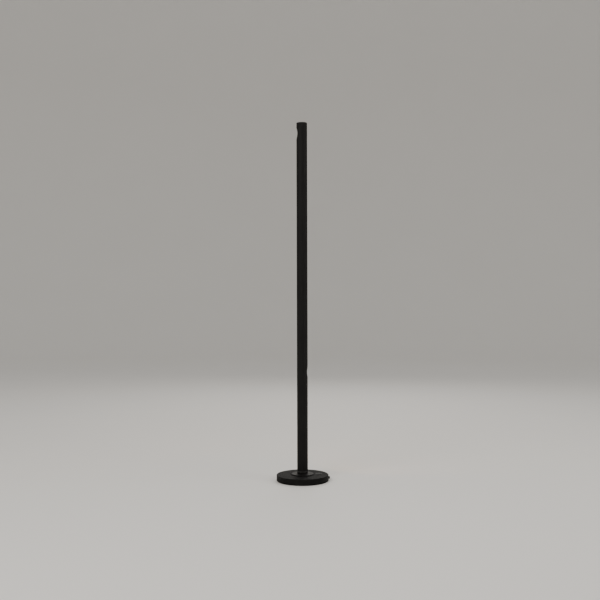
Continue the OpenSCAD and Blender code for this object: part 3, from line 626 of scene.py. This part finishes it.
class LampGland(bpy.types.PropertyGroup):
    """The cable gland's dome nut"""
    flutes: IntProperty(name="Flutes", description="Grip flutes round the dome nut",
                        default=18, min=8, max=36)
    flute_depth: FloatProperty(name="Flute depth", description="Depth of the grip flutes",
                               subtype="DISTANCE", unit="LENGTH", default=0.35 * MM,
                               min=0.05 * MM, max=0.8 * MM, precision=5)


class LampStage(bpy.types.PropertyGroup):
    """The floor, the camera and the studio light"""
    floor: FloatVectorProperty(name="Floor", description="Colour of the pale floor",
                               subtype="COLOR", default=(0.78, 0.765, 0.74), min=0, max=1)
    distance: FloatProperty(name="Camera distance", description="From the lamp's axis",
                            subtype="DISTANCE", unit="LENGTH", default=3.60, min=1, max=20)
    height: FloatProperty(name="Camera height", description="Above the floor",
                          subtype="DISTANCE", unit="LENGTH", default=0.7575, min=0, max=5)
    side: FloatProperty(name="Camera shift", description="To the camera's right",
                        subtype="DISTANCE", unit="LENGTH", default=-0.009, min=-1, max=1)
    azimuth: FloatProperty(name="Azimuth", description="Camera's angle round the lamp",
                           subtype="ANGLE", default=math.radians(-4), min=-math.pi,
                           max=math.pi)
    roll: FloatProperty(name="Roll", description="Camera's lean", subtype="ANGLE",
                        default=math.radians(-0.14), min=-0.5, max=0.5)
    focal: FloatProperty(name="Focal length", description="In mm, on a 36 mm wide sensor",
                         default=51.48, min=10, max=300)
    key: FloatProperty(name="Key light", description="Power of the soft main light",
                       unit="POWER", default=110.0, min=0, max=2000)
    sky: FloatProperty(name="Surrounding light", description="Strength of the light all round",
                       default=0.75, min=0, max=5)


class LampSettings(bpy.types.PropertyGroup):
    """All of the lamp's settings, kept with the scene"""
    finishes: PointerProperty(type=LampFinishes)
    light: PointerProperty(type=LampLight)
    switch: PointerProperty(type=LampSwitch)
    gland: PointerProperty(type=LampGland)
    stage: PointerProperty(type=LampStage)


def settings():
    """The scene's settings for the lamp."""
    return bpy.context.scene.floor_lamp


# Pieces

class LAMP_OT_base(bpy.types.Operator):
    """Finishes the disc, the flange, the rubber pad and what is screwed under the disc"""
    bl_idname = "lamp.base"
    bl_label = "Base"

    def execute(self, context):
        f = settings().finishes
        coat = powder_coat("coat_disc", tuple(f.coat), f.coat_roughness, f.coat_grain,
                           shine=0.1)
        neck = powder_coat("coat_neck", tuple(f.coat), 0.7 * f.coat_roughness, f.coat_grain,
                           shine=0.17, journal=SEATS["lower"])
        paint(coat, "base_plate")
        paint(neck, "column_flange")
        paint(rubber("pad_rubber"), "base_pad", "flange_gasket")
        paint(plated("zinc_plate"), "bottom_cover", "switch_nut")
        paint(bright_metal("screw_steel", tuple(f.steel), 0.26),
              "cover_screws", "flange_screws")
        paint(moulded("pale_case", tuple(f.plastic)), "led_driver", "terminal_block")
        return {"FINISHED"}


class LAMP_OT_column(bpy.types.Operator):
    """Finishes the column's tubes and cap, their screws, and the swivels between them"""
    bl_idname = "lamp.column"
    bl_label = "Column and swivels"

    def execute(self, context):
        f = settings().finishes
        coat = powder_coat("coat_tube", tuple(f.coat), f.coat_roughness, f.coat_grain)
        paint(coat, *(s + "_tube" for s in SECTIONS), "end_cap")
        paint(bright_metal("black_screws", tuple(f.screws), 0.36),
              *(s + "_tube_screws" for s in SECTIONS),
              *(s + "_swivel_screw" for s in SECTIONS))
        paint(bright_metal("turned_aluminium", (0.55, 0.56, 0.57), 0.28),
              "lower_coupler", "middle_coupler")
        # The foot washer's grey is partly a grey acetal ring and partly a painted highlight,
        # lighter than the black slide rings, for the light caught at the column's foot
        paint(moulded("foot_slide_ring_and_painted_highlight", (0.07, 0.068, 0.065), 0.35), "foot_washer")
        paint(moulded("slide_ring", (0.005, 0.005, 0.005), 0.6, shine=0.15),
              "lower_washer", "middle_washer")
        paint(rubber("ring_rubber", (0.01, 0.01, 0.01)),
              "foot_oring", "lower_oring", "middle_oring", "cap_oring")
        return {"FINISHED"}


def lens_shape(pitch, depth):
    """A lens turned about the beam, z = 0 at its foot.

    Its flank bulges: r runs from foot to face as the 0.62th power of the height. Its mouth
    is hollow, with a crowned ceiling z = 2.2 - 0.9 (1 - (r / 3.9) squared) mm. Its face
    carries a hexagonal field of lenslets: z = H - depth * (1 - w) * fade, where w is the
    mean of cos(k.p) over three directions 120 degrees apart, brought to 0..1, and fade
    goes to 0 at the face's rim.
    """
    foot, hollow, flank_h = 4.7 * MM, 3.9 * MM, 5 * MM
    mouth_h, crown, rings = 2.2 * MM, 0.9 * MM, 45
    t = np.linspace(0, 1, 14)
    flank = np.stack([foot + (LENS_RIM - foot) * t ** 0.62, flank_h * t], 1)
    r = np.linspace(0, hollow, 8)
    ceiling = np.stack([r, mouth_h - crown * (1 - (r / hollow) ** 2)], 1)
    lip = [[LENS_R, flank_h], [LENS_R, LENS_H]]
    face = np.stack([np.linspace(LENS_R, 0, rings + 1)[1:], np.full(rings, LENS_H)], 1)
    profile = np.concatenate([ceiling, [[hollow, 0]], flank, lip, face])
    face_from = len(profile) - len(face)

    def lenslets(r, z, a):
        k = 2 * math.pi / (pitch * math.sqrt(3) / 2)
        x, y = r * np.cos(a), r * np.sin(a)
        w = sum(np.cos(k * (x * math.cos(d) + y * math.sin(d)))
                for d in np.radians([0, 120, 240])) / 3
        w = (w + 0.5) / 1.5
        fade = 1 - eased(r, 7.0 * MM, 7.9 * MM)
        on_face = (np.arange(r.shape[0]) >= face_from)[:, None]
        return r, z - on_face * fade * depth * (1 - w)

    return turned(profile, 96, lenslets)


def board_parts():
    """Round LED board with a rounded edge, its square chip carrier, the phosphor dome on it
    and two solder pads. z = 0 is the board's face."""
    edge = 0.2 * MM
    board = filleted([(0, -BOARD_T, 0), (LENS_R, -BOARD_T, edge), (LENS_R, 0, edge),
                      (0, 0, 0)], 4)
    half, top = 2.5 * MM, 0.45 * MM
    carrier = filleted([(0, 0, 0), (half, 0, 0), (half, top, 0.1 * MM), (0, top, 0)], 4)

    def squared(r, z, a):
        """Turns a circle into a square with soft corners: r over the eighth root of
        (|cos|^8 + |sin|^8), times SNUG."""
        return r / (np.abs(np.cos(a)) ** 8 + np.abs(np.sin(a)) ** 8) ** 0.125 * SNUG, z

    dome_r, dome_h, sunk = 1.9 * MM, 0.33 * MM, 0.15 * MM
    t = np.linspace(0, math.pi / 2, 9)
    dome = np.stack([dome_r * np.cos(t), top + dome_h * np.sin(t)], 1)
    foot = [[0, top - sunk], [dome_r, top - sunk]]
    parts = [part(turned(board, 72)), part(turned(carrier, 64, squared)),
             part(turned(np.concatenate([foot, dome]), 40), finish=1)]
    pad_r, pad_foot, pad_side, pad_top = 0.9 * MM, -0.05 * MM, 0.12 * MM, 0.3 * MM
    pad = filleted([(0, pad_foot, 0), (pad_r, pad_foot, 0), (pad_r, pad_side, 0.08 * MM),
                    (0, pad_top, 0)], 5)
    for x in (-6.6 * MM, 6.6 * MM):
        parts.append(part(turned(pad, 24) + [x, 0, 0], finish=2))
    return parts


class LAMP_OT_lights(bpy.types.Operator):
    """Makes the three lenses and LED boards, and finishes the holders, glasses and rings"""
    bl_idname = "lamp.lights"
    bl_label = "Lights"

    def execute(self, context):
        f, light = settings().finishes, settings().light
        warm = tuple(light.colour)
        white = board_coat("board_coat")
        chip = glowing_chip("chip_glow", warm, light.chip_glow)
        solder = bright_metal("solder", (0.6, 0.6, 0.58), 0.3)
        ring = satin_black("satin_ring", tuple(f.satin), 0.3)
        seal = rubber("seal_rubber")
        lens = lens_shape(light.lenslet, light.lenslet_h) - [0, 0, BOARD_DEPTH]
        for s in SECTIONS:
            body = s + "_section"
            holder = satin_black("satin_holder_" + s, tuple(f.satin), 0.36, s)
            paint(holder, s + "_lamp_holder")
            paint(ring, s + "_glass_ring")
            paint(seal, s + "_glass_seal")
            # Glass and lens both carry a painted glow for the chip's light shining through
            # them
            paint(clear("glass_" + s, (0.97, 0.98, 0.98), 1.5, warm, 0.12, s), s + "_glass")
            resin = clear("lens_" + s, (0.98, 0.98, 0.97), 1.49, warm, light.lens_painted_glow, s)
            piece(s + "_optic", [part(at_light(lens, s))], [resin], body,
                  s + "_lens")
            parts = board_parts()
            for p in parts:
                p["points"] = at_light(p["points"] - [0, 0, BOARD_DEPTH], s)
            piece(s + "_led", parts, [white, chip, solder], body,
                  s + "_led_board")
            self.beam(s, warm, light)
        return {"FINISHED"}

    def beam(self, section, warm, light):
        """The light that leaves the glass: a soft-edged spot along the beam, from 1 mm
        outside the scoop's floor."""
        lamp = bpy.data.lights.new(section + "_beam", "SPOT")
        lamp.color = warm
        lamp.energy = light.beam
        lamp.spot_size = light.spread
        lamp.spot_blend = 0.35
        lamp.shadow_soft_size = 4 * MM
        o = placed(section + "_beam", lamp)
        place, ahead = at_light(np.array([[0, 0, 1.0 * MM], [0, 0, 1.0]]), section)
        o.location = place
        o.rotation_euler = Vector(ahead - place).to_track_quat("-Z", "Y").to_euler()
        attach(o, section + "_section")


class LAMP_OT_switch(bpy.types.Operator):
    """Makes the foot switch's button and spring, and finishes the parts round them"""
    bl_idname = "lamp.switch"
    bl_label = "Foot switch"

    def execute(self, context):
        f, switch = settings().finishes, settings().switch
        satin = satin_black("satin_bezel", tuple(f.satin), 0.48)
        paint(satin, "switch_bushing")
        paint(moulded("black_case", (0.018, 0.018, 0.018)), "switch_body")
        paint(rubber("button_rubber"), "button_seal")
        lo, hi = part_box("foot_button")
        middle = (lo + hi) / 2
        parts = [part(self.button(lo, hi, switch) + [middle.x, 0, 0])]
        piece("button_cap", parts, [satin_black("satin_button", tuple(f.satin), 0.5)],
              "button", "foot_button")
        tube, length = self.spring(switch)
        parts = [part(tube + [middle.x, 0, 0], caps=True, along=length)]
        spring = piece("return_spring", parts,
                       [bright_metal("spring_steel", tuple(f.steel), 0.22)],
                       "base", "button_spring")
        # The spring gets shorter by as much as the button sinks
        lo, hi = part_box("button_spring")
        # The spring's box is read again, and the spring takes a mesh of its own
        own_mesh(spring)
        return {"FINISHED"}

    def button(self, lo, hi, switch):
        """Button turned about its axis. Its crown is z = top - 1.4 mm * (r / R) squared, with
        grip rings of height ring_h * sin squared between 0.42 R and 0.86 R, sunk so that
        they stay under the crown, and its edge is rounded into the side. Its foot is a
        little short, so that it doesn't touch the switch when it is pressed."""
        lip_r, e, fillet = (hi.x - lo.x) / 2, switch.edge, 0.2 * MM
        r, hollow, stem, dome = lip_r - 0.9 * MM, 6 * MM, 2 * MM, 1.4 * MM
        foot, stem_foot, lip_top = lo.z + 0.05 * MM, lo.z + 1.6 * MM, lo.z + 2 * MM
        roof = hi.z - 5 * MM
        under = filleted([(0, stem_foot, 0), (stem, stem_foot, fillet), (stem, roof, 0),
                          (hollow, roof, 0.3 * MM), (hollow, foot, 0), (lip_r, foot, fillet),
                          (lip_r, lip_top, fillet), (r, lip_top, 0)], 5)
        x = np.linspace(r - e, 0, 110)
        crown = hi.z - dome * (x / r) ** 2
        a = np.linspace(0, math.pi / 2, 8)[:-1]
        drop = hi.z - dome * ((r - e) / r) ** 2
        corner = np.stack([r - e + e * np.cos(a), drop - e + e * np.sin(a)], 1)
        t = np.clip((x / r - 0.42) / 0.44, 0, 1)
        crown -= switch.ring_h * np.sin(math.pi * switch.rings * t) ** 2
        return turned(np.concatenate([under, corner, np.stack([x, crown], 1)]), 96)

    def spring(self, switch):
        """Round wire on a helix: height goes evenly between the ends and eases to lie flat
        over the first and last half turn, as the source's spring does."""
        lo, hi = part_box("button_spring")
        wire = 0.4 * MM
        radius = (hi.x - lo.x) / 2 - wire
        t = np.linspace(0, switch.coils, 44 * switch.coils + 1)
        rise = 0.8 * eased(t, 0.5, switch.coils - 0.5) + 0.2 * t / switch.coils
        z = lo.z + wire + (hi.z - lo.z - 2 * wire) * rise
        a = 2 * math.pi * t
        return swept(np.stack([radius * np.cos(a), radius * np.sin(a), z], 1), wire, 12)


class LAMP_OT_gland(bpy.types.Operator):
    """Makes the cable gland's fluted dome nut, and finishes its body and seal"""
    bl_idname = "lamp.gland"
    bl_label = "Cable gland"

    def execute(self, context):
        gland = settings().gland
        black = moulded("black_gland", (0.016, 0.016, 0.016), 0.42)
        paint(black, "gland_body")
        paint(rubber("gland_rubber"), "gland_seal")
        lo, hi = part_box("gland_nut")
        middle, length = (lo + hi) / 2, hi.x - lo.x
        r = (hi.z - lo.z) / 2
        bore, spigot, lip, arc = 3.5 * MM, 4.7 * MM, 2 * MM, 8
        profile = filleted([(spigot, 0, 0.1 * MM), (r, 0, 0.15 * MM),
                            (r, length * 0.62, 0.5 * MM),
                            (r - 0.35 * MM, length - 1.4 * MM, 1.0 * MM),
                            (r - 1.9 * MM, length, 0.5 * MM), (bore, length, 0.3 * MM),
                            (bore, length - lip, 0), (spigot, length - lip, 0)], arc)
        # The straight side between the second and third corners gets points for the flutes
        t = np.linspace(0, 1, 20)[1:-1, None]
        side = profile[2 * arc - 1] * (1 - t) + profile[2 * arc] * t
        profile = np.concatenate([profile[:2 * arc], side, profile[2 * arc:]])

        def flutes(radius, z, a):
            """Takes flute_depth * (1 - |sin|) squared off the outside, fading at both ends."""
            deep = (1 - np.abs(np.sin(gland.flutes * a / 2))) ** 2
            start = eased(z, 2.9 * MM, 3.5 * MM)
            end = 1 - eased(z, length - 2.2 * MM, length - 1.2 * MM)
            outside = radius > r - 0.6 * MM
            return radius - gland.flute_depth * deep * start * end * outside, z

        shape = turned(profile, 8 * gland.flutes, flutes)
        across = np.stack([shape[..., 2] + lo.x, shape[..., 0] + middle.y,
                           shape[..., 1] + middle.z], -1)
        piece("dome_nut", [part(across, looped=True)], [black], "base",
              "gland_nut")
        return {"FINISHED"}


def loom_line(section, z):
    """The loom's distance behind the axis: LOOM_Y times an eased step out, less one home."""
    out = SEATS[section] + JOURNAL_H + LOOM_STUB
    home = SCOOPS[section] + LOOM_TURN
    return LOOM_Y * (eased(z, out, out + LOOM_BEND) - eased(z, home, home + LOOM_BEND))


class LAMP_OT_wiring(bpy.types.Operator):
    """Makes the sleeved looms, their leads into the lights, and the wiring in the base"""
    bl_idname = "lamp.wiring"
    bl_label = "Wiring"

    def execute(self, context):
        sleeve = sheath("woven_sleeve", (0.016, 0.016, 0.017))
        core = insulation("wire_cover", (0.012, 0.012, 0.012))
        for s in SECTIONS:
            lo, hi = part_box(s + "_loom")
            z = np.linspace(lo.z, hi.z, 220)
            path = np.stack([0 * z, loom_line(s, z), z], 1)
            tube, length = swept(path, LOOM_R * SNUG, 24)
            parts = [part(turn_z(tube, AIMS[s]), caps=True, along=length)]
            parts += self.lead(s)
            piece(s + "_wires", parts, [sleeve, core], s + "_section", s + "_loom")
        piece("base_wires", self.base(), [sleeve, core], "base", "base_wiring")
        return {"FINISHED"}

    def lead(self, section):
        """Two wires side by side from the loom's flank into the light's boss. Their depth
        grows by the room that is left to the loom, in a few rounds, as in the source."""
        depth = BOSS_DEPTH
        c, s = math.cos(TILT), math.sin(TILT)
        for _ in range(8):
            reach = SCOOP_R + depth
            z = SCOOPS[section] + reach * s
            room = SCOOP_AXIS_Y - reach * c - loom_line(section, z) - LOOM_R - LAY_GAP
            depth += room / c
        d = np.linspace(-depth, -(BOARD_DEPTH + BOARD_T), 24)
        parts = []
        for side in (-0.72 * MM, 0.72 * MM):
            wire, length = swept(np.stack([0 * d + side, 0 * d, d], 1), 0.7 * MM, 14)
            parts.append(part(at_light(wire, section), caps=True, finish=1, along=length))
        return parts

    def base(self):
        """From the driver at -X to the middle, round a quarter bend, and up through the hub;
        and two wires from the terminal block to the switch."""
        bend, level = 12 * MM, ROOF_Z - DRIVER_H / 2
        x = np.linspace(DRIVER_END_X, -bend, 10)[:-1]
        flat = np.stack([x, 0 * x, 0 * x + level], 1)
        a = np.linspace(0, math.pi / 2, 24)
        curve = np.stack([-bend + bend * np.sin(a), 0 * a, level + bend - bend * np.cos(a)], 1)
        up = np.linspace(level + bend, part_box("base_wiring")[1].z, 20)[1:]
        path = np.concatenate([flat, curve, np.stack([0 * up, 0 * up, up], 1)])
        tube, length = swept(path, LOOM_R * SNUG, 24)
        parts = [part(tube, caps=True, along=length)]
        x = np.linspace(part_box("terminal_block")[1].x - BLOCK_HOLE,
                        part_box("switch_body")[0].x, 16)
        z = ROOF_Z - BLOCK_H / 2 - LEAD_R
        for side in (-0.68 * MM, 0.68 * MM):
            wire, length = swept(np.stack([x, 0 * x + side, 0 * x + z], 1), 0.66 * MM, 14)
            parts.append(part(wire, caps=True, finish=1, along=length))
        return parts


# Stage

class LAMP_OT_stage(bpy.types.Operator):
    """Lays the pale floor, hangs the soft lights and sets the camera"""
    bl_idname = "lamp.stage"
    bl_label = "Stage"

    # Each light's name, place, width and share of the main light's power
    lights = (("key", (-2.4, -3.0, 3.2), 2.6, 1.0),
              ("fill", (3.2, -1.6, 2.2), 2.8, 0.45),
              ("back", (0.6, 3.2, 2.8), 2.6, 0.35))

    def execute(self, context):
        stage = settings().stage
        self.floor(stage)
        self.sky(context.scene, stage)
        for name, place, size, share in self.lights:
            self.soft_light(name, place, size, share * stage.key)
        self.camera(context.scene, stage)
        return {"FINISHED"}

    def floor(self, stage):
        """A flat disc that sweeps up into a wall far off: radii up to flat, then a quarter
        circle (flat + R sin a, R - R cos a), then straight up. It lies a hair lower than
        the lamp's foot."""
        flat, sweep, top, hair = 8.0, 5.0, 9.0, 0.02 * MM
        a = np.linspace(0, math.pi / 2, 24)[1:]
        profile = np.concatenate([
            np.stack([np.linspace(0, flat, 12), np.zeros(12)], 1),
            np.stack([flat + sweep * np.sin(a), sweep - sweep * np.cos(a)], 1),
            [[flat + sweep, top]]]) - [0, hair]
        mesh = merged_mesh("floor", [part(turned(profile, 96))],
                           [pale_floor("pale_floor", tuple(stage.floor))])
        if mesh.polygons[0].normal.z < 0:
            mesh.flip_normals()
        placed("floor", mesh)

    def sky(self, scene, stage):
        world = bpy.data.worlds.new("studio")
        world.use_nodes = True
        background = world.node_tree.nodes["Background"]
        background.inputs["Color"].default_value = (0.80, 0.79, 0.77, 1.0)
        background.inputs["Strength"].default_value = stage.sky
        scene.world = world

    def soft_light(self, name, place, size, power):
        lamp = bpy.data.lights.new(name, "AREA")
        lamp.shape = "DISK"
        lamp.size = size
        lamp.energy = power
        lamp.color = (1.0, 0.965, 0.92)
        o = placed(name, lamp)
        o.location = place
        half_way_up = Vector((0, 0, 0.7))
        o.rotation_euler = (half_way_up - Vector(place)).to_track_quat("-Z", "Y").to_euler()

    def camera(self, scene, stage):
        """Level camera at an azimuth: back from the axis, a little to its side, and rolled."""
        a = stage.azimuth
        back = Vector((math.sin(a), -math.cos(a), 0))
        right = Vector((math.cos(a), math.sin(a), 0))
        lens = bpy.data.cameras.new("camera")
        lens.sensor_width = 36
        lens.lens = stage.focal
        lens.clip_start = 0.01
        lens.clip_end = 100
        o = placed("camera", lens)
        place = back * stage.distance + right * stage.side + Vector((0, 0, stage.height))
        o.matrix_world = (Matrix.Translation(place) @ Matrix.Rotation(a, 4, "Z")
                          @ Matrix.Rotation(math.pi / 2, 4, "X")
                          @ Matrix.Rotation(stage.roll, 4, "Z"))
        scene.camera = o


class LAMP_PT_panel(bpy.types.Panel):
    """Lists the lamp's pieces and their settings"""
    bl_idname = "LAMP_PT_panel"
    bl_label = "Floor lamp"
    bl_space_type = "VIEW_3D"
    bl_region_type = "UI"
    bl_category = "Floor lamp"

    def draw(self, context):
        lamp = context.scene.floor_lamp
        for operators, group in ((("lamp.base", "lamp.column"), lamp.finishes),
                                 (("lamp.lights",), lamp.light),
                                 (("lamp.switch",), lamp.switch),
                                 (("lamp.gland",), lamp.gland),
                                 (("lamp.wiring",), None),
                                 (("lamp.stage",), lamp.stage)):
            box = self.layout.box()
            for name in operators:
                box.operator(name)
            if group:
                for key in group.__annotations__:
                    box.prop(group, key)


CLASSES = (LampFinishes, LampLight, LampSwitch, LampGland, LampStage, LampSettings,
           LAMP_OT_base, LAMP_OT_column, LAMP_OT_lights, LAMP_OT_switch, LAMP_OT_gland,
           LAMP_OT_wiring, LAMP_OT_stage, LAMP_PT_panel)


def register():
    for c in CLASSES:
        bpy.utils.register_class(c)
    bpy.types.Scene.floor_lamp = PointerProperty(type=LampSettings)


def unregister():
    del bpy.types.Scene.floor_lamp
    for c in reversed(CLASSES):
        bpy.utils.unregister_class(c)


def main():
    """Registers the add-on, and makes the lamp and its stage."""
    register()
    for step in (bpy.ops.lamp.base, bpy.ops.lamp.column, bpy.ops.lamp.lights,
                 bpy.ops.lamp.switch, bpy.ops.lamp.gland, bpy.ops.lamp.wiring,
                 bpy.ops.lamp.stage):
        step()


if __name__ == "__main__":
    main()
